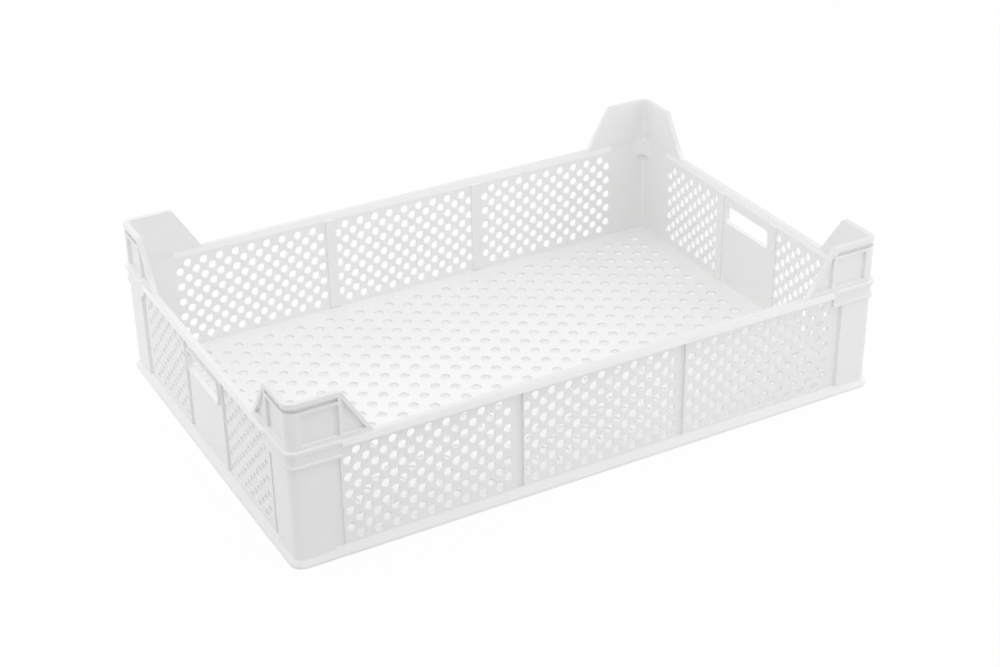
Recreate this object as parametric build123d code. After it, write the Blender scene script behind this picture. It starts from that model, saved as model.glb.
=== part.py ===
from build123d import *
from math import hypot
import os

# Driving sizes of the crate in millimetres, X along the long walls and Z up
length = 600.0
width = 400.0
height = 157.0
rim_height = 113.0
wall = 2.5
wall_inset = 5.5

# Foot: it flares from the walls out to a skirt that the crate stands on
floor_top = 6.0
foot_height = 8.0
foot_under = 2.5
foot_radius = 12.0
skirt = 2.5

# Rim: the wall's top edge turned out and down
rim_depth = 7.0
rim_inset = 2.0
rim_lip = 2.0
rim_round = 1.5

# Corner posts: the plain outer faces run this far from the foot's outline
post_inset = 4.0
post_radius = 8.0
inner_radius = 4.0
post_long = 39.5
post_end = 41.5

# Collar of two lips round each post at rim level
collar_height = 17.0
collar_top = 4.0
collar_top_inset = 1.5
collar_waist_inset = 3.5
collar_foot = 3.0
collar_foot_inset = 2.0

# Upright channels, open to the outside: flush with the walls beside the posts, deeper between the panels
channel_width = 10.8
channel_depth = 2.5
channel_side = 1.2
channel_web = 1.2
mullion_x = 83.2

# Stacking ears: top and foot lengths are measured from the foot's outline
ear_inset = 4.0
ear_radius = 9.0
ear_wall = 2.0
ear_step = 1.0
ear_long_top = 53.0
ear_long_foot = 80.0
ear_end_top = 50.0
ear_end_foot = 80.0
ear_edge = 3.5
ear_round = 4.0
ear_band = 12.0
ear_stop = 3.0
cap_flange = 4.5
cap_groove = 4.0
cap_groove_depth = 2.5
cap_ledge = 3.0

# Hand holds in the end walls
handle_width = 79.0
slot_length = 72.0
slot_height = 19.5
slot_top = 95.5
slot_radius = 4.0
slot_frame = 2.5
slot_proud = 2.5

# Perforation: pitch along each row and the plastic left between openings
long_pitch = 24.0
end_pitch = 24.0
wall_web = 5.4
wall_edge = 2.0
floor_pitch_x = 84.0
floor_pitch_y = 60.0
floor_web = 24.0
floor_edge = 8.0

# Cross ribs under the floor, between the rows of openings
floor_rib = 3.0
floor_rib_gap = 1.0
floor_rib_every = 4

# Places that follow from the sizes above
half_length = length / 2
half_width = width / 2
inner_inset = wall_inset + wall
inner_x = half_length - inner_inset
inner_y = half_width - inner_inset
wall_top = rim_height - rim_depth
foot_edge = foot_height - wall_inset
collar_bottom = rim_height - collar_height
ear_inner_inset = inner_inset + ear_step
ear_plate_inset = ear_inner_inset - ear_wall
panel_end_x = half_length - post_long - channel_width
panel_end_y = half_width - post_end - channel_width
centre_panel = 2 * mullion_x - channel_width
side_panel = panel_end_x - mullion_x - channel_width / 2
mullion_y = (handle_width + channel_width) / 2
end_panel = panel_end_y - mullion_y - channel_width / 2


def prism(face, low, high):
    """Extrude a plan outline from one level up to another."""
    return extrude(Pos(0, 0, low) * face, amount=high - low, dir=(0, 0, 1))


def along_y(outline, near, far):
    """Extrude an outline drawn in X and Z from one Y to another."""
    return extrude(Plane.XZ.offset(-near) * outline, amount=near - far)


def along_x(outline, near, far):
    """Extrude an outline drawn in Y and Z from one X to another."""
    return extrude(Plane.YZ.offset(near) * outline, amount=far - near)


def shape(*points):
    """A flat outline through the given corners."""
    return make_face(Polyline(*points, close=True))


def between(low_x, high_x, low_y, high_y):
    """A rectangle between two limits each way."""
    place = Pos((low_x + high_x) / 2, (low_y + high_y) / 2)
    return place * Rectangle(high_x - low_x, high_y - low_y)


def plan(inset, radius):
    """The crate's rounded plan, drawn in from the foot's outline."""
    return RectangleRounded(length - 2 * inset, width - 2 * inset, radius)


def legs(leg_x, leg_y):
    """The part of the plan that one corner may fill."""
    return between(half_length - leg_x, half_length, half_width - leg_y, half_width)


def corner_strip(outer, inner, leg_x, leg_y, low, high):
    """An L-shaped wall round one corner, between two plans and two levels."""
    return prism((outer - inner) & legs(leg_x, leg_y), low, high)


def spread(span, pitch, edge):
    """How many openings lie each side of a row's middle, and the even step between them."""
    count = max(1, round((span - 2 * edge) / pitch) - 1)
    return count, (span / 2 - edge) / (count + 1)


def openings(span_x, span_y, pitch_x, pitch_y, web, edge):
    """Staggered rows of diamonds that fill a plate evenly."""
    columns, step_x = spread(span_x, pitch_x, edge)
    rows, step_y = spread(span_y, pitch_y, edge)
    share = 1 - web * hypot(1 / step_x, 1 / step_y) / 2
    tip_x = share * step_x
    tip_y = share * step_y
    diamond = shape((tip_x, 0), (0, tip_y), (-tip_x, 0), (0, -tip_y))
    holes = []
    for column in range(-columns, columns + 1):
        for row in range(-rows, rows + 1):
            if (column + row) % 2 == 0:
                holes.append(Pos(column * step_x, row * step_y) * diamond)
    return holes


def floor_plate():
    """The perforated floor between the walls, with its cross ribs."""
    holes = openings(2 * inner_x, 2 * inner_y, floor_pitch_x, floor_pitch_y, floor_web, floor_edge)
    plate = prism(plan(inner_inset, inner_radius) - holes, floor_top - wall, floor_top)
    columns, step_x = spread(2 * inner_x, floor_pitch_x, floor_edge)
    for column in range(1, columns, floor_rib_every):
        for side in (-1, 1):
            place = Pos(side * (column + 0.5) * step_x, 0)
            plate += prism(place * Rectangle(floor_rib, 2 * inner_y), floor_rib_gap, floor_top - wall)
    return plate


def foot_profile(outer, inner):
    """Section of the foot rail: a flare below the wall, hollow behind its skirt."""
    return shape(
        (inner, foot_under),
        (outer - skirt, foot_under),
        (outer - skirt, 0),
        (outer, 0),
        (outer, foot_edge),
        (outer - wall_inset, foot_height),
        (inner, foot_height),
    )


def rim_profile(outer, inner):
    """Section of the rim: the wall's top edge turned out and down into a lip."""
    face = shape(
        (inner, wall_top),
        (inner + wall, wall_top),
        (inner + wall, rim_height - wall),
        (outer - rim_lip, rim_height - wall),
        (outer - rim_lip, wall_top),
        (outer, wall_top),
        (outer, rim_height),
        (inner, rim_height),
    )
    crest = face.vertices().sort_by_distance((outer, rim_height))[0]
    return fillet(crest, rim_round)


def channel(depth, top):
    """An upright channel on a wall whose outer face lies at Y zero, opening towards +Y."""
    half = channel_width / 2
    groove_half = half - channel_side
    strip = prism(between(-half, half, -depth - channel_web, 0), foot_height, top)
    return strip - prism(between(-groove_half, groove_half, -depth, 0), foot_height, top - channel_web)


def corner_post():
    """Foot corner, pilaster and collar of the corner at +X +Y."""
    reach_x = half_length - panel_end_x
    reach_y = half_width - panel_end_y
    waist_low = collar_bottom + collar_foot
    waist_high = rim_height - collar_top
    foot = prism(plan(0, foot_radius), 0, foot_height)
    foot = chamfer(foot.faces().sort_by(Axis.Z)[-1].edges(), wall_inset)
    skirt_inside = plan(skirt, foot_radius - skirt)
    pilaster = plan(post_inset, post_radius)
    lower_lip = plan(collar_foot_inset, ear_radius)
    waist = plan(collar_waist_inset, post_radius)
    upper_lip = plan(collar_top_inset, ear_radius)
    inside = plan(inner_inset, inner_radius)
    foot -= prism(skirt_inside, 0, foot_under) + prism(inside, foot_under, foot_height)
    post = foot & prism(legs(reach_x, reach_y), 0, foot_height)
    post += corner_strip(pilaster, inside, post_long, post_end, foot_under, collar_bottom)
    post += corner_strip(lower_lip, inside, reach_x, reach_y, collar_bottom, waist_low)
    post += corner_strip(waist, inside, reach_x, reach_y, waist_low, waist_high)
    post += corner_strip(upper_lip, inside, reach_x, reach_y, waist_high, rim_height)
    return post


def ear_outline(half, top_leg, foot_leg):
    """Trapezoid side of an ear, from the rim up to the top of the crate."""
    side = shape(
        (half - foot_leg, rim_height),
        (half, rim_height),
        (half, height),
        (half - top_leg, height),
    )
    top_end = side.vertices().sort_by_distance((half - top_leg, height))[0]
    return fillet(top_end, ear_round)


def ear_pockets(half, top_leg, foot_leg):
    """Outlines of the two recesses in an ear's side: one by the corner, one in the wing."""
    low = rim_height + ear_edge
    ledge_low = height - cap_flange - cap_groove - cap_ledge
    stop = half - top_leg + ear_stop
    corner_end = half - ear_inset - ear_band
    corner_pocket = shape((stop, low), (corner_end, low), (corner_end, ledge_low), (stop, ledge_low))
    rise = height - rim_height
    run = foot_leg - top_leg
    edge_run = ear_edge * hypot(rise, run) / rise
    wing_start = half - foot_leg + ear_edge * run / rise + edge_run
    wing_end = half - top_leg
    wing_high = height - edge_run * rise / run
    wing_pocket = shape((wing_start, low), (wing_end, low), (wing_end, wing_high))
    return [corner_pocket, wing_pocket]


def stacking_ear():
    """Trapezoid ear of the corner at +X +Y, recessed on its outer faces."""
    outside = plan(ear_inset, ear_radius)
    inside = plan(ear_inner_inset, inner_radius)
    solid = corner_strip(outside, inside, ear_long_foot, ear_end_foot, rim_height, height)
    long_side = along_y(
        ear_outline(half_length, ear_long_top, ear_long_foot), half_width - ear_inner_inset, half_width
    )
    end_side = along_x(
        ear_outline(half_width, ear_end_top, ear_end_foot), half_length - ear_inner_inset, half_length
    )
    ear = (solid & long_side) + (solid & end_side)
    groove_high = height - cap_flange
    groove_low = groove_high - cap_groove
    groove_bottom = plan(ear_inset + cap_groove_depth, ear_radius)
    groove_long = ear_long_top - ear_stop
    groove_end = ear_end_top - ear_stop
    ear -= corner_strip(outside, groove_bottom, groove_long, groove_end, groove_low, groove_high)
    for pocket in ear_pockets(half_length, ear_long_top, ear_long_foot):
        ear -= along_y(pocket, half_width - ear_plate_inset, half_width)
    for pocket in ear_pockets(half_width, ear_end_top, ear_end_foot):
        ear -= along_x(pocket, half_length - ear_plate_inset, half_length)
    return ear


def wall_panel(span, pitch):
    """A perforated panel that stands on the shelf, with its outer face at Y zero."""
    tall = wall_top - foot_height
    sheet = Rectangle(span, tall) - openings(span, tall, pitch, pitch, wall_web, wall_edge)
    return along_y(Pos(0, foot_height + tall / 2) * sheet, -wall, 0)


def handle_panel():
    """Plain panel of the end wall at +X, with the framed hand slot."""
    half = handle_width / 2
    outer = half_length - wall_inset
    sheet = between(-half, half, foot_height, wall_top)
    place = Pos(0, slot_top - slot_height / 2)
    slot = place * RectangleRounded(slot_length, slot_height, slot_radius)
    frame = place * RectangleRounded(
        slot_length + 2 * slot_frame, slot_height + 2 * slot_frame, slot_radius + slot_frame
    )
    return along_x(sheet - slot, outer - wall, outer) + along_x(frame - slot, outer, outer + slot_proud)


# Put the pieces of one side together, then mirror them to the other side
pieces = {"floor_plate": floor_plate()}
front_back = Plane.XZ
left_right = Plane.YZ

foot_long = along_x(foot_profile(half_width, inner_y), -panel_end_x, panel_end_x)
foot_end = along_y(foot_profile(half_length, inner_x), -panel_end_y, panel_end_y)
rim_long = along_x(rim_profile(half_width - rim_inset, inner_y), -panel_end_x, panel_end_x)
rim_end = along_y(rim_profile(half_length - rim_inset, inner_x), -panel_end_y, panel_end_y)
for name, long_rail, end_rail in (("foot_rail", foot_long, foot_end), ("rim_rail", rim_long, rim_end)):
    pieces[name + "_back"] = long_rail
    pieces[name + "_front"] = mirror(long_rail, about=front_back)
    pieces[name + "_right"] = end_rail
    pieces[name + "_left"] = mirror(end_rail, about=left_right)

for name, corner in (("corner_post", corner_post()), ("stacking_ear", stacking_ear())):
    left_corner = mirror(corner, about=left_right)
    pieces[name + "_back_right"] = corner
    pieces[name + "_back_left"] = left_corner
    pieces[name + "_front_right"] = mirror(corner, about=front_back)
    pieces[name + "_front_left"] = mirror(left_corner, about=front_back)

# Long walls: channels by the posts and between the three panels
mullion = channel(channel_depth, wall_top)
post_channel = channel(wall - channel_web, collar_bottom)
back_wall = Pos(0, half_width - wall_inset, 0)
post_channel_x = panel_end_x + channel_width / 2
channel_places = [-post_channel_x, -mullion_x, mullion_x, post_channel_x]
for number, place in enumerate(channel_places, start=1):
    body = mullion if number in (2, 3) else post_channel
    back_channel = back_wall * Pos(place, 0, 0) * body
    pieces[f"channel_back_{number}"] = back_channel
    pieces[f"channel_front_{number}"] = mirror(back_channel, about=front_back)
side_x = panel_end_x - side_panel / 2
panel_places = [(-side_x, side_panel), (0, centre_panel), (side_x, side_panel)]
for number, (place, span) in enumerate(panel_places, start=1):
    back_panel = back_wall * Pos(place, 0, 0) * wall_panel(span, long_pitch)
    pieces[f"panel_back_{number}"] = back_panel
    pieces[f"panel_front_{number}"] = mirror(back_panel, about=front_back)

# End walls: channels by the posts and beside the hand hold
right_wall = Pos(half_length - wall_inset, 0, 0) * Rot(0, 0, -90)
post_channel_y = panel_end_y + channel_width / 2
channel_places = [-post_channel_y, -mullion_y, mullion_y, post_channel_y]
for number, place in enumerate(channel_places, start=1):
    body = mullion if number in (2, 3) else post_channel
    right_channel = right_wall * Pos(-place, 0, 0) * body
    pieces[f"channel_right_{number}"] = right_channel
    pieces[f"channel_left_{number}"] = mirror(right_channel, about=left_right)
for number, side in enumerate((-1, 1), start=1):
    panel_y = side * (panel_end_y - end_panel / 2)
    right_panel = right_wall * Pos(-panel_y, 0, 0) * wall_panel(end_panel, end_pitch)
    pieces[f"panel_right_{number}"] = right_panel
    pieces[f"panel_left_{number}"] = mirror(right_panel, about=left_right)
pieces["handle_panel_right"] = handle_panel()
pieces["handle_panel_left"] = mirror(pieces["handle_panel_right"], about=left_right)

os.makedirs("parts", exist_ok=True)
for name, piece in pieces.items():
    export_step(piece, f"parts/{name}.step")
print(len(pieces), "nodes written")
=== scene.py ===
# %% [markdown]
# # A perforated stacking crate
# The real crate is one moulding in white polyethylene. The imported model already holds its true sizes, so
# this lesson loads it as a fixed frame. Then it adds what the solids leave out: the studio, the plastic,
# the full number of round holes, the soft edges of the moulding and its rounded inside corners.

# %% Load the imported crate
import math
import bpy
from mathutils import Matrix, Vector


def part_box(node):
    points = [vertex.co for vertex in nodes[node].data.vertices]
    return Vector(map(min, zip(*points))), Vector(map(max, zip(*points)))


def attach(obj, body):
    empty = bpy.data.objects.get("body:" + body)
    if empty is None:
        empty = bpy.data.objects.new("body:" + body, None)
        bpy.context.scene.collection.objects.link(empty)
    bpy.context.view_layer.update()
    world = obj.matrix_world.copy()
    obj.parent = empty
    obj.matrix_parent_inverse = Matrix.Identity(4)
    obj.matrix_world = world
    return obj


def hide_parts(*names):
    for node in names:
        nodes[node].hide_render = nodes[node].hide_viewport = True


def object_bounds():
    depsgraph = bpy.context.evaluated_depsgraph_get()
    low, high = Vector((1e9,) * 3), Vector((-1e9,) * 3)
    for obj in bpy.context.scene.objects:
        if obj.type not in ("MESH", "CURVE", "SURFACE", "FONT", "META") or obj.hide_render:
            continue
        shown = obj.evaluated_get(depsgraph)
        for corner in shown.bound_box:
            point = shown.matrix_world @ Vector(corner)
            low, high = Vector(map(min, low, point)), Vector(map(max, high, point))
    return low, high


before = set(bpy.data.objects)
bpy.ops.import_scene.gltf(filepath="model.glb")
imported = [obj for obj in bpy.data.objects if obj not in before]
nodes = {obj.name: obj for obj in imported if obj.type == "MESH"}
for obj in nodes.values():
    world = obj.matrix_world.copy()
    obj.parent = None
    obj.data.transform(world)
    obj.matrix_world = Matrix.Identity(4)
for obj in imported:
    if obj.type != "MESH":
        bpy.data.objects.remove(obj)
cad_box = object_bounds()


def rounded(corners):
    """The corners of a box to a tenth of a millimetre, for printing."""
    return [[round(value, 4) for value in corner] for corner in corners]


print(len(nodes), "nodes loaded, box", rounded(cad_box))

# %% [markdown]
# ## The camera
# A camera is described best by where it stands, where it looks and how long its lens is. The photograph
# was taken from the front left, about thirty degrees above the crate, with a short telephoto lens and a
# very slight tilt. Turning about Z, then X, then the view axis keeps those three angles apart.

# %% Set up the camera
camera_place = (-0.74765, -1.38566, 0.932)
azimuth = math.radians(-28.51)
elevation = math.radians(29.41)
tilt = math.radians(-0.95)
aim = Matrix.Rotation(azimuth, 4, "Z") @ Matrix.Rotation(math.pi / 2 - elevation, 4, "X")
aim = aim @ Matrix.Rotation(tilt, 4, "Z")
bpy.ops.object.camera_add(location=camera_place, rotation=aim.to_euler())
camera = bpy.context.object
camera.name = "photo_camera"
camera.data.sensor_width = 36.0
camera.data.lens = 67.54
scene = bpy.context.scene
scene.camera = camera
print("camera lens", round(camera.data.lens, 2), "mm")

# %% [markdown]
# ## The light
# The crate was photographed in a light tent with soft boxes round it and hardly any shadow. A white world
# gives most of that even light, and five large soft lamps give the rest. The one above and the one behind
# are the strongest, so the crate's floor is bright and the near corner falls off a little. More light
# would turn the background white, but the crate would burn out with it. So the camera sees a white world,
# and a weaker one lights the crate.


# %% Fill the light tent
def math_node(tree, operation, *values):
    """A Math node that takes sockets or plain numbers, and gives its result."""
    node = tree.nodes.new("ShaderNodeMath")
    node.operation = operation
    for socket, value in zip(node.inputs, values):
        if isinstance(value, bpy.types.NodeSocket):
            tree.links.new(value, socket)
        else:
            socket.default_value = value
    return node.outputs[0]


def camera_sees(tree):
    """One where a surface is seen straight, in a reflection or through glass, and zero elsewhere."""
    path = tree.nodes.new("ShaderNodeLightPath")
    seen = math_node(tree, "MAXIMUM", path.outputs["Is Camera Ray"], path.outputs["Is Glossy Ray"])
    return math_node(tree, "MAXIMUM", seen, path.outputs["Is Transmission Ray"])


pure_white = (1, 1, 1, 1)
scene.view_settings.view_transform = "Standard"
world = bpy.data.worlds.new("light_tent")
scene.world = world
world.use_nodes = True
tent = world.node_tree
tent.nodes.clear()
tent_light = tent.nodes.new("ShaderNodeBackground")
tent_light.inputs["Color"].default_value = pure_white
tent_light.inputs["Strength"].default_value = 0.8
tent_white = tent.nodes.new("ShaderNodeBackground")
tent_white.inputs["Color"].default_value = pure_white
tent_white.inputs["Strength"].default_value = 1.0
tent_mix = tent.nodes.new("ShaderNodeMixShader")
tent_out = tent.nodes.new("ShaderNodeOutputWorld")
tent.links.new(camera_sees(tent), tent_mix.inputs["Fac"])
tent.links.new(tent_light.outputs[0], tent_mix.inputs[1])
tent.links.new(tent_white.outputs[0], tent_mix.inputs[2])
tent.links.new(tent_mix.outputs[0], tent_out.inputs["Surface"])
print("light tent has", len(tent.nodes), "nodes")


# %% Hang the soft lamps
def soft_lamp(name, place, aim, size, watts):
    """A square area lamp that looks at a point."""
    bpy.ops.object.light_add(type="AREA", location=place)
    lamp = bpy.context.object
    lamp.name = name
    lamp.data.size = size
    lamp.data.energy = watts
    lamp.rotation_euler = (Vector(place) - Vector(aim)).to_track_quat("Z", "Y").to_euler()


crate_middle = (0.0, 0.0, 0.05)
left_end = (-0.3, 0.1, 0.08)
soft_lamp("top_box", place=(-0.35, -0.45, 1.25), aim=crate_middle, size=1.0, watts=3.7)
soft_lamp("back_box", place=(0.0, 1.3, 0.8), aim=crate_middle, size=0.9, watts=3.0)
soft_lamp("right_box", place=(1.3, 0.0, 0.8), aim=crate_middle, size=0.8, watts=2.6)
soft_lamp("left_box", place=(-0.8, 0.35, 0.4), aim=left_end, size=0.5, watts=0.6)
soft_lamp("front_box", place=(1.1, -1.1, 0.7), aim=crate_middle, size=0.9, watts=2.0)
# White walls hand light on to each other many times
scene.cycles.diffuse_bounces = 10

# %% [markdown]
# ## The paper floor
# The crate stands on white paper. Lit like the crate, plain paper would look grey. So what the camera sees
# of it is lifted towards white, and a part of its true shading stays in the mix: that is the crate's soft
# shadow. Under the crate it is lifted less, because the paper that shows through the holes of the floor
# lies in the shade. The larger of two shares, across and along, tells how near a point is to the edge of
# the crate's footprint.

# %% Mix the paper
paper_grey = (0.83, 0.83, 0.83, 1)
lift_under, lift_outside = 0.8, 0.95
fade_from, fade_to = 0.9, 1.0
paper_material = bpy.data.materials.new("white_paper")
paper_material.use_nodes = True
paper_tree = paper_material.node_tree
paper_tree.nodes.clear()
paper_place = paper_tree.nodes.new("ShaderNodeTexCoord")
paper_axes = paper_tree.nodes.new("ShaderNodeSeparateXYZ")
paper_tree.links.new(paper_place.outputs["Object"], paper_axes.inputs[0])
shares = []
for axis, half_side in zip("XY", cad_box[1]):
    distance = math_node(paper_tree, "ABSOLUTE", paper_axes.outputs[axis])
    shares.append(math_node(paper_tree, "DIVIDE", distance, half_side))
lift = paper_tree.nodes.new("ShaderNodeMapRange")
lift.inputs["From Min"].default_value = fade_from
lift.inputs["From Max"].default_value = fade_to
lift.inputs["To Min"].default_value = lift_under
lift.inputs["To Max"].default_value = lift_outside
paper_tree.links.new(math_node(paper_tree, "MAXIMUM", *shares), lift.inputs["Value"])
lift_seen = math_node(paper_tree, "MULTIPLY", camera_sees(paper_tree), lift.outputs["Result"])
print("paper is lifted by", lift_under, "under the crate and", lift_outside, "outside")

# %% Lay the paper floor
floor_side = 40.0
paper_matte = paper_tree.nodes.new("ShaderNodeBsdfDiffuse")
paper_matte.inputs["Color"].default_value = paper_grey
paper_glow = paper_tree.nodes.new("ShaderNodeEmission")
paper_glow.inputs["Color"].default_value = pure_white
paper_glow.inputs["Strength"].default_value = 1.0
paper_mix = paper_tree.nodes.new("ShaderNodeMixShader")
paper_out = paper_tree.nodes.new("ShaderNodeOutputMaterial")
paper_tree.links.new(lift_seen, paper_mix.inputs["Fac"])
paper_tree.links.new(paper_matte.outputs[0], paper_mix.inputs[1])
paper_tree.links.new(paper_glow.outputs[0], paper_mix.inputs[2])
paper_tree.links.new(paper_mix.outputs[0], paper_out.inputs["Surface"])
bpy.ops.mesh.primitive_plane_add(size=floor_side, location=(0, 0, 0))
paper = bpy.context.object
paper.name = "paper_floor"
paper.data.materials.append(paper_material)
print("paper floor laid,", floor_side, "m wide")

# %% [markdown]
# ## A black card
# The near corner is the darkest part of the photograph, because the camera stood in front of it and took
# light away. Weaker lamps would darken the other corners too, so a black card takes the light away here.
# The camera itself doesn't see it.

# %% Stand the card by the near corner
card_place = Vector((-0.52, -0.6, 0.27))
near_corner = Vector((-0.3, -0.2, 0.08))
card_width, card_height = 0.4, 0.26
bpy.ops.mesh.primitive_plane_add(size=1.0, location=card_place)
card = bpy.context.object
card.name = "black_card"
card.scale = (card_width, card_height, 1.0)
card.rotation_euler = (near_corner - card_place).to_track_quat("Z", "Y").to_euler()
card.visible_camera = False
card_material = bpy.data.materials.new("black_felt")
card_material.use_nodes = True
felt = card_material.node_tree.nodes["Principled BSDF"]
felt.inputs["Base Color"].default_value = (0.03, 0.03, 0.03, 1)
felt.inputs["Roughness"].default_value = 0.9
card.data.materials.append(card_material)
print("card stands at", [round(value, 2) for value in card_place])

# %% [markdown]
# ## The plastic
# Moulded polyethylene is white with a dull, waxy gloss. It is never quite even: the melt leaves faint
# clouds as it flows and the tool leaves a fine grain. The rims get a paler white, a painted highlight for
# the light that their rounded lips catch, and dust settles on them and on the tops of the ears. Each effect
# is a node group with named inputs, so that each finish can use it with its own values.


# %% Build the moulding marks
def new_group(name, inputs, outputs):
    """A shader node group with number sockets, and its input and output nodes."""
    group = bpy.data.node_groups.new(name, "ShaderNodeTree")
    for socket in inputs:
        group.interface.new_socket(socket, in_out="INPUT", socket_type="NodeSocketFloat")
    for socket in outputs:
        group.interface.new_socket(socket, in_out="OUTPUT", socket_type="NodeSocketFloat")
    return group, group.nodes.new("NodeGroupInput"), group.nodes.new("NodeGroupOutput")


marks, marks_in, marks_out = new_group("moulding_marks", ["Cloud Scale", "Grain Scale"], ["Clouds", "Grain"])
marks_place = marks.nodes.new("ShaderNodeTexCoord")
cloud_noise = marks.nodes.new("ShaderNodeTexNoise")
cloud_noise.inputs["Detail"].default_value = 3.0
cloud_noise.inputs["Roughness"].default_value = 0.55
grain_noise = marks.nodes.new("ShaderNodeTexNoise")
grain_noise.inputs["Detail"].default_value = 2.0
marks.links.new(marks_place.outputs["Object"], cloud_noise.inputs["Vector"])
marks.links.new(marks_place.outputs["Object"], grain_noise.inputs["Vector"])
marks.links.new(marks_in.outputs["Cloud Scale"], cloud_noise.inputs["Scale"])
marks.links.new(marks_in.outputs["Grain Scale"], grain_noise.inputs["Scale"])
marks.links.new(cloud_noise.outputs["Fac"], marks_out.inputs["Clouds"])
marks.links.new(grain_noise.outputs["Fac"], marks_out.inputs["Grain"])
print("marks group has", len(marks.nodes), "nodes")

# %% Build the settled dust
dust, dust_in, dust_out = new_group("settled_dust", ["Lowest", "Full"], ["Dust"])
facing = dust.nodes.new("ShaderNodeNewGeometry")
upward = dust.nodes.new("ShaderNodeSeparateXYZ")
settle = dust.nodes.new("ShaderNodeMapRange")
settle.inputs["From Min"].default_value = 0.2
settle.inputs["From Max"].default_value = 0.9
dust_place = dust.nodes.new("ShaderNodeTexCoord")
height = dust.nodes.new("ShaderNodeSeparateXYZ")
exposed = dust.nodes.new("ShaderNodeMapRange")
dust.links.new(facing.outputs["True Normal"], upward.inputs[0])
dust.links.new(upward.outputs["Z"], settle.inputs["Value"])
dust.links.new(dust_place.outputs["Object"], height.inputs[0])
dust.links.new(height.outputs["Z"], exposed.inputs["Value"])
dust.links.new(dust_in.outputs["Lowest"], exposed.inputs["From Min"])
dust.links.new(dust_in.outputs["Full"], exposed.inputs["From Max"])
dust_cover = math_node(dust, "MULTIPLY", settle.outputs["Result"], exposed.outputs["Result"])
dust.links.new(dust_cover, dust_out.inputs["Dust"])
print("dust group has", len(dust.nodes), "nodes")

# %% Mix the white polyethylene
wall_white = (0.855, 0.857, 0.852)
# The rims' paler white is a painted highlight, for the light that their rounded lips catch
rim_painted_highlight_white = (0.935, 0.937, 0.932)
cloud_contrast = 0.015
# Where a Mix node keeps its colours
mix_first, mix_second, mix_result = 6, 7, 2


def polyethylene(name, white):
    """A waxy white plastic with faint clouds and a fine grain."""
    material = bpy.data.materials.new(name)
    material.use_nodes = True
    tree = material.node_tree
    surface = tree.nodes["Principled BSDF"]
    surface.inputs["Specular IOR Level"].default_value = 0.4
    mark = tree.nodes.new("ShaderNodeGroup")
    mark.node_tree = marks
    mark.inputs["Cloud Scale"].default_value = 14.0
    mark.inputs["Grain Scale"].default_value = 1800.0
    tone = tree.nodes.new("ShaderNodeMix")
    tone.name = "tone"
    tone.data_type = "RGBA"
    tone.inputs[mix_first].default_value = [channel - cloud_contrast for channel in white] + [1]
    tone.inputs[mix_second].default_value = [channel + cloud_contrast for channel in white] + [1]
    gloss = tree.nodes.new("ShaderNodeMapRange")
    gloss.inputs["To Min"].default_value = 0.42
    gloss.inputs["To Max"].default_value = 0.58
    bump = tree.nodes.new("ShaderNodeBump")
    bump.inputs["Strength"].default_value = 0.25
    bump.inputs["Distance"].default_value = 0.0002
    tree.links.new(mark.outputs["Clouds"], tone.inputs["Factor"])
    tree.links.new(tone.outputs[mix_result], surface.inputs["Base Color"])
    tree.links.new(mark.outputs["Clouds"], gloss.inputs["Value"])
    tree.links.new(gloss.outputs["Result"], surface.inputs["Roughness"])
    tree.links.new(mark.outputs["Grain"], bump.inputs["Height"])
    tree.links.new(bump.outputs["Normal"], surface.inputs["Normal"])
    return material


white_plastic = polyethylene("white_polyethylene", wall_white)
for node in nodes.values():
    node.data.materials.clear()
    node.data.materials.append(white_plastic)
print("plastic given to", len(nodes), "nodes")

# %% Dust the rims and ears
dust_fade = 0.008


def dusty_polyethylene(name, white, dust_grey, lowest):
    """The same plastic with dust on the upward faces above a height."""
    material = polyethylene(name, white)
    tree = material.node_tree
    settled = tree.nodes.new("ShaderNodeGroup")
    settled.node_tree = dust
    settled.inputs["Lowest"].default_value = lowest
    settled.inputs["Full"].default_value = lowest + dust_fade
    dusty = tree.nodes.new("ShaderNodeMix")
    dusty.data_type = "RGBA"
    dusty.inputs[mix_second].default_value = (dust_grey, dust_grey, dust_grey, 1)
    tree.links.new(settled.outputs["Dust"], dusty.inputs["Factor"])
    tree.links.new(tree.nodes["tone"].outputs[mix_result], dusty.inputs[mix_first])
    tree.links.new(dusty.outputs[mix_result], tree.nodes["Principled BSDF"].inputs["Base Color"])
    return material


# The rims: a paler white as a painted highlight, and dust on their tops
rim_painted_highlight_and_dust = dusty_polyethylene("rim_polyethylene_painted_highlight_and_dust", rim_painted_highlight_white, dust_grey=0.77, lowest=0.104)
ear_plastic = dusty_polyethylene("ear_polyethylene", wall_white, dust_grey=0.74, lowest=0.120)
print("dusty plastics:", rim_painted_highlight_and_dust.name, "and", ear_plastic.name)

# %% [markdown]
# ## The perforated panels
# Every wall panel is a thin plate with rows of round holes, each row set off by half a step. A hand
# modeller would lay out one drill, repeat it with two Array modifiers, and cut all the holes at once
# with a Boolean. Then the rims of the holes are bevelled, because a moulded hole has no sharp edge.


# %% Tools for shaping
def clear_selection():
    """Select nothing, so that the next operator touches only what it makes."""
    bpy.ops.object.select_all(action="DESELECT")


def select_only(piece):
    """Make one piece selected and active."""
    clear_selection()
    piece.select_set(True)
    bpy.context.view_layer.objects.active = piece


def apply_place():
    """Move the place, turn and scale of the selected piece into its mesh."""
    bpy.ops.object.transform_apply(location=True, rotation=True, scale=True)


def apply_modifiers(piece):
    """Turn all modifiers of a piece into mesh, in their order."""
    select_only(piece)
    for modifier in list(piece.modifiers):
        bpy.ops.object.modifier_apply(modifier=modifier.name)


def plate(name, low, high):
    """A box between two corners, with its place in its mesh."""
    middle = [(a + b) / 2 for a, b in zip(low, high)]
    size = [b - a for a, b in zip(low, high)]
    clear_selection()
    bpy.ops.mesh.primitive_cube_add(size=1.0, location=middle, scale=size)
    piece = bpy.context.object
    piece.name = name
    apply_place()
    return piece


print("shaping tools ready")

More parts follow.
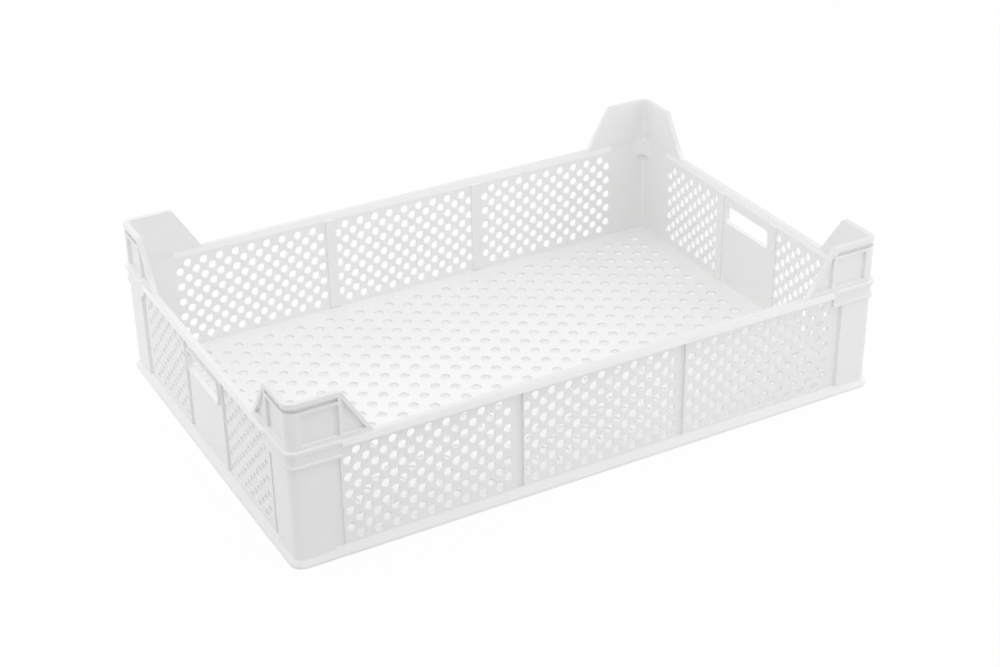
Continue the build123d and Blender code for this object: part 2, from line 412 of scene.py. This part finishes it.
# %% Tools for drilling
drill_sides = 16
drill_turns = {"X": (0, math.pi / 2, 0), "Y": (math.pi / 2, 0, 0), "Z": (0, 0, 0)}
# A drill is this many times as long as the plate is thick
drill_reach = 4


def drill_rows(first, axis, radius, depth, steps, draft=0.0):
    """A tapered drill along an axis, repeated by an Array for each (count, offset) in steps."""
    flare = math.tan(draft) * depth / 2
    clear_selection()
    bpy.ops.mesh.primitive_cone_add(
        vertices=drill_sides, radius1=radius - flare, radius2=radius + flare, depth=depth,
        location=first, rotation=drill_turns[axis],
    )
    drill = bpy.context.object
    apply_place()
    for count, offset in steps:
        rows = drill.modifiers.new("rows", "ARRAY")
        rows.count = count
        rows.use_relative_offset = False
        rows.use_constant_offset = True
        rows.constant_offset_displace = offset
    apply_modifiers(drill)
    return drill


def cut_holes(piece, drills):
    """Cut each set of drills out of the piece, then throw the drills away."""
    for drill in drills:
        cut = piece.modifiers.new("holes", "BOOLEAN")
        cut.object = drill
        cut.operation = "DIFFERENCE"
        cut.solver = "EXACT"
        apply_modifiers(piece)
        bpy.data.objects.remove(drill)


print("drills have", drill_sides, "sides")

# %% Tools for finishing
smooth_angle = math.radians(35)
plate_border = 0.001
level_limit = 1e-6


def finish_surface(piece):
    """Smooth shading that keeps broad faces flat, and the crate's plastic."""
    select_only(piece)
    bpy.ops.object.shade_smooth_by_angle(angle=smooth_angle)
    weigh = piece.modifiers.new("weigh", "WEIGHTED_NORMAL")
    weigh.keep_sharp = True
    apply_modifiers(piece)
    piece.data.materials.clear()
    piece.data.materials.append(white_plastic)


def soften_holes(piece, thin_axis, width):
    """Bevel the rims of all holes: the edges of the two broad faces that lie inside the border."""
    low, high = Vector(piece.bound_box[0]), Vector(piece.bound_box[6])
    select_only(piece)
    bpy.ops.object.mode_set(mode="EDIT")
    bpy.ops.mesh.select_mode(type="EDGE")
    bpy.ops.mesh.select_all(action="DESELECT")
    bpy.ops.object.mode_set(mode="OBJECT")
    points = [vertex.co for vertex in piece.data.vertices]
    broad = [axis for axis in range(3) if axis != thin_axis]
    for edge in piece.data.edges:
        ends = [points[index] for index in edge.vertices]
        flat = abs(ends[0][thin_axis] - ends[1][thin_axis]) < level_limit
        inside = all(low[i] + plate_border < end[i] < high[i] - plate_border for i in broad for end in ends)
        edge.select = flat and inside
    bpy.ops.object.mode_set(mode="EDIT")
    bpy.ops.mesh.bevel(offset=width, segments=1, affect="EDGES", clamp_overlap=True)
    bpy.ops.object.mode_set(mode="OBJECT")
    finish_surface(piece)


def stand_for(piece, node):
    """Show the piece in place of a node of the frame."""
    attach(piece, "root")
    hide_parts(node)


print("finishing tools ready")

# %% Drill two long wall panels
along_x, along_y, along_z = range(3)
hole = 0.0042
hole_edge = 0.0006
step_x, step_z = 0.00834, 0.00827
rows_z = 0.0564
long_fields = ((9, 6), (10, 5))


def drill_long_panel(name, node):
    """A long wall panel with eleven rows of holes, laid out from its middle."""
    low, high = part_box(node)
    middle = (low + high) / 2
    panel = plate(name, low, high)
    drills = []
    for columns, rows in long_fields:
        first = (middle.x - (columns - 1) * step_x, middle.y, rows_z - (rows - 1) * step_z)
        steps = [(columns, (2 * step_x, 0, 0)), (rows, (0, 0, 2 * step_z))]
        drills.append(drill_rows(first, "Y", hole, drill_reach * (high.y - low.y), steps))
    cut_holes(panel, drills)
    soften_holes(panel, along_y, hole_edge)
    return panel


centre_panel = drill_long_panel("long_panel_back_2", "panel_back_2")
side_panel = drill_long_panel("long_panel_back_3", "panel_back_3")
print("long panels have", len(centre_panel.data.polygons), "and", len(side_panel.data.polygons), "faces")


# %% Copy them to the other places on the long walls
def twin_of(piece, name, start, end, turn=Matrix.Identity(4)):
    """A copy of a finished piece with its own mesh, turned about one point and moved to another."""
    select_only(piece)
    bpy.ops.object.duplicate(linked=False)
    twin = bpy.context.object
    twin.name = name
    twin.data.name = name
    twin.matrix_world = Matrix.Translation(end) @ turn @ Matrix.Translation(-start)
    apply_place()
    return twin


def middle_of(node):
    """The middle of a node of the frame."""
    low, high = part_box(node)
    return (low + high) / 2


front_centre = twin_of(
    centre_panel, "long_panel_front_2", middle_of("panel_back_2"), middle_of("panel_front_2")
)
stand_for(front_centre, "panel_front_2")
for node in ("panel_back_1", "panel_front_1", "panel_front_3"):
    stand_for(twin_of(side_panel, "long_" + node, middle_of("panel_back_3"), middle_of(node)), node)
stand_for(centre_panel, "panel_back_2")
stand_for(side_panel, "panel_back_3")
print("long panels placed")

# %% Drill the panels of the right end wall
end_step_y, end_step_z = 0.00782, 0.00782
first_y = 0.054
end_columns = 6
end_fields = ((6, first_y), (5, first_y + end_step_y))


def drill_end_panel(name, node, hand):
    """An end wall panel with eleven rows of holes, laid out from the hand hold to one hand."""
    low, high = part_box(node)
    middle_x = (low.x + high.x) / 2
    panel = plate(name, low, high)
    drills = []
    for rows, start_y in end_fields:
        first = (middle_x, hand * start_y, rows_z - (rows - 1) * end_step_z)
        steps = [(end_columns, (0, hand * 2 * end_step_y, 0)), (rows, (0, 0, 2 * end_step_z))]
        drills.append(drill_rows(first, "X", hole, drill_reach * (high.x - low.x), steps))
    cut_holes(panel, drills)
    soften_holes(panel, along_x, hole_edge)
    return panel


near_panel = drill_end_panel("end_panel_right_1", "panel_right_1", -1)
far_panel = drill_end_panel("end_panel_right_2", "panel_right_2", 1)
print("end panels have", len(near_panel.data.polygons), "and", len(far_panel.data.polygons), "faces")

# %% Copy them round to the left end wall
half_turn = Matrix.Rotation(math.pi, 4, "Z")
for panel, start, end in ((far_panel, "panel_right_2", "panel_left_1"),
                          (near_panel, "panel_right_1", "panel_left_2")):
    stand_for(twin_of(panel, "end_" + end, middle_of(start), middle_of(end), half_turn), end)
stand_for(near_panel, "panel_right_1")
stand_for(far_panel, "panel_right_2")
print("end panels placed")

# %% [markdown]
# ## The floor
# The floor has the widest field of holes. It is drilled in the same way, from above. Its holes narrow
# downwards, as a mould needs them to, so their sloping rims catch the light and they look like short dashes
# from the side. The plate is thin, so that the paper shows through the holes as it does in the photograph.

# %% Drill the floor
low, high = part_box("floor_plate")
floor_thick = 0.0013
floor_hole = 0.005
floor_edge = 0.0003
floor_draft = math.radians(32)
floor_step_x, floor_step_y = 0.0167, 0.0106
floor_fields = (17, 16)
floor = plate("perforated_floor", (low.x, low.y, high.z - floor_thick), high)
floor_drills = []
for count in floor_fields:
    first = (-(count - 1) * floor_step_x, -(count - 1) * floor_step_y, high.z)
    steps = [(count, (2 * floor_step_x, 0, 0)), (count, (0, 2 * floor_step_y, 0))]
    floor_drills.append(drill_rows(first, "Z", floor_hole, drill_reach * floor_thick, steps, floor_draft))
cut_holes(floor, floor_drills)
soften_holes(floor, along_z, floor_edge)
stand_for(floor, "floor_plate")
print("floor has", len(floor.data.polygons), "faces")

# %% [markdown]
# ## Soft edges
# A mould tool has no razor edges, so light catches every rim and corner of the real crate. The posts,
# ears, rails and hand holds are copied from the frame, their loose corners are merged, flat faces are
# joined again, and every sharp edge is bevelled. The edges where two regions of the moulding meet stay
# as they are, because there is no gap there in the real crate.

# %% Tools for soft edges
merge_distance = 0.00001
flat_angle = math.radians(1)
sharp_angle = math.radians(30)
seam_limit = 2e-5


def lies_on(value, levels):
    """True if a coordinate lies on one of the levels, on either side of the crate's middle."""
    return any(abs(abs(value) - level) < seam_limit for level in levels)


def soften_edges(piece, seams, width):
    """Bevel the sharp edges of a piece, except those that lie in a seam: levels along X, Y and Z."""
    mesh = piece.data
    select_only(piece)
    bpy.ops.object.mode_set(mode="EDIT")
    bpy.ops.mesh.select_mode(type="EDGE")
    bpy.ops.mesh.select_all(action="SELECT")
    bpy.ops.mesh.remove_doubles(threshold=merge_distance)
    bpy.ops.mesh.dissolve_limited(angle_limit=flat_angle)
    bpy.ops.mesh.select_all(action="DESELECT")
    bpy.ops.mesh.edges_select_sharp(sharpness=sharp_angle)
    bpy.ops.object.mode_set(mode="OBJECT")
    sharp = [edge.index for edge in mesh.edges if edge.select]
    bpy.ops.object.mode_set(mode="EDIT")
    bpy.ops.mesh.select_all(action="DESELECT")
    bpy.ops.object.mode_set(mode="OBJECT")
    for index in sharp:
        ends = [mesh.vertices[end].co for end in mesh.edges[index].vertices]
        in_seam = any(all(lies_on(end[axis], seams[axis]) for end in ends) for axis in range(3))
        mesh.edges[index].select = not in_seam
    bpy.ops.object.mode_set(mode="EDIT")
    bpy.ops.mesh.bevel(offset=width, segments=2, affect="EDGES", clamp_overlap=True)
    bpy.ops.object.mode_set(mode="OBJECT")
    finish_surface(piece)


def moulded_copy(node, seams, width, plastic=white_plastic):
    """A copy of a node of the frame with soft edges, shown in the node's place."""
    select_only(nodes[node])
    bpy.ops.object.duplicate(linked=False)
    piece = bpy.context.object
    piece.name = "moulded_" + node
    piece.data.name = piece.name
    soften_edges(piece, seams, width)
    piece.data.materials[0] = plastic
    stand_for(piece, node)


print("edge tools ready")

# %% Soften the ears and posts
corners = [f"{side}_{hand}" for side in ("front", "back") for hand in ("left", "right")]
rim_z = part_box("rim_rail_back")[1].z
foot_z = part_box("foot_rail_back")[1].z
rail_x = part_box("rim_rail_back")[1].x
rail_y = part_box("rim_rail_right")[1].y
post_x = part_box("channel_back_4")[1].x
post_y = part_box("channel_right_4")[1].y
inner_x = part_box("panel_right_1")[0].x
inner_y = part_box("panel_back_2")[0].y
soft_edge = 0.0008
ear_seams = ((), (), (rim_z,))
post_seams = ((rail_x, post_x, inner_x), (rail_y, post_y, inner_y), (foot_z,))
for corner in corners:
    moulded_copy("stacking_ear_" + corner, ear_seams, soft_edge, ear_plastic)
    moulded_copy("corner_post_" + corner, post_seams, soft_edge)
print("ears and posts softened:", 2 * len(corners))

# %% Soften the rails and hand holds
wall_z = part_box("panel_back_2")[1].z
rim_edge = soft_edge / 2
# The rim rails below get the rim plastic: a paler white as a painted highlight, and dust
for side in ("front", "back"):
    moulded_copy("foot_rail_" + side, ((rail_x,), (inner_y,), (foot_z,)), soft_edge)
    moulded_copy("rim_rail_" + side, ((rail_x,), (), (rim_z, wall_z)), rim_edge, rim_painted_highlight_and_dust)
for hand in ("left", "right"):
    hold_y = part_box("handle_panel_" + hand)[1].y
    moulded_copy("foot_rail_" + hand, ((inner_x,), (rail_y,), (foot_z,)), soft_edge)
    moulded_copy("rim_rail_" + hand, ((), (rail_y,), (rim_z, wall_z)), rim_edge, rim_painted_highlight_and_dust)
    moulded_copy("handle_panel_" + hand, ((), (hold_y,), (foot_z, wall_z)), soft_edge)
print("rails and hand holds softened")

# %% [markdown]
# ## Rounded inside corners
# Inside each corner the ear has a small fillet, and under it a wide fillet ends in a low arch over the
# post. A bevel can't stop at an arch, so each fillet is a square bar in the corner with an upright
# cylinder cut away. A flattened ball cuts the arch.

# %% Shape the first inside corner
bar_overlap = 0.0005
cutter_sides, cutter_rings = 64, 32
cutter_depth, cutter_z = 0.3, 0.1


def corner_bar(name, x, y, radius, low, high):
    """A fillet that fills the corner of two walls, between two heights."""
    bar = plate(name, (x - radius, y - radius, low), (x + bar_overlap, y + bar_overlap, high))
    clear_selection()
    bpy.ops.mesh.primitive_cylinder_add(
        vertices=cutter_sides, radius=radius, depth=cutter_depth, location=(x - radius, y - radius, cutter_z)
    )
    cut_holes(bar, [bpy.context.object])
    return bar


wide_radius, wide_low = 0.016, 0.088
arch_top, arch_deep, arch_reach = 0.0965, 0.03, 0.026
fillet = corner_bar("corner_fillet_back_right", inner_x, inner_y, wide_radius, wide_low, rim_z)
clear_selection()
bpy.ops.mesh.primitive_uv_sphere_add(
    segments=cutter_sides, ring_count=cutter_rings, location=(inner_x, inner_y, arch_top - arch_deep)
)
ball = bpy.context.object
ball.scale = (arch_reach, arch_reach, arch_deep)
apply_place()
cut_holes(fillet, [ball])
print("wide fillet has", len(fillet.data.polygons), "faces")

# %% Add the ear's fillet to it
ear_x, ear_y, ear_top = 0.291, 0.191, 0.1555
ear_radius = 0.004
ear_fillet = corner_bar("ear_fillet", ear_x, ear_y, ear_radius, rim_z, ear_top)
select_only(fillet)
ear_fillet.select_set(True)
bpy.ops.object.join()
finish_surface(fillet)
print("inside corner has", len(fillet.data.polygons), "faces")

# %% Repeat it in the other corners
first_corner = Vector((ear_x, ear_y, 0))
other_corners = {
    "back_left": (Vector((-ear_x, ear_y, 0)), math.pi / 2),
    "front_left": (Vector((-ear_x, -ear_y, 0)), math.pi),
    "front_right": (Vector((ear_x, -ear_y, 0)), -math.pi / 2),
}
fillets = [fillet]
for corner, (place, angle) in other_corners.items():
    turn = Matrix.Rotation(angle, 4, "Z")
    fillets.append(twin_of(fillet, "corner_fillet_" + corner, first_corner, place, turn))
for piece in fillets:
    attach(piece, "root")
print("inside corners rounded:", len(fillets))
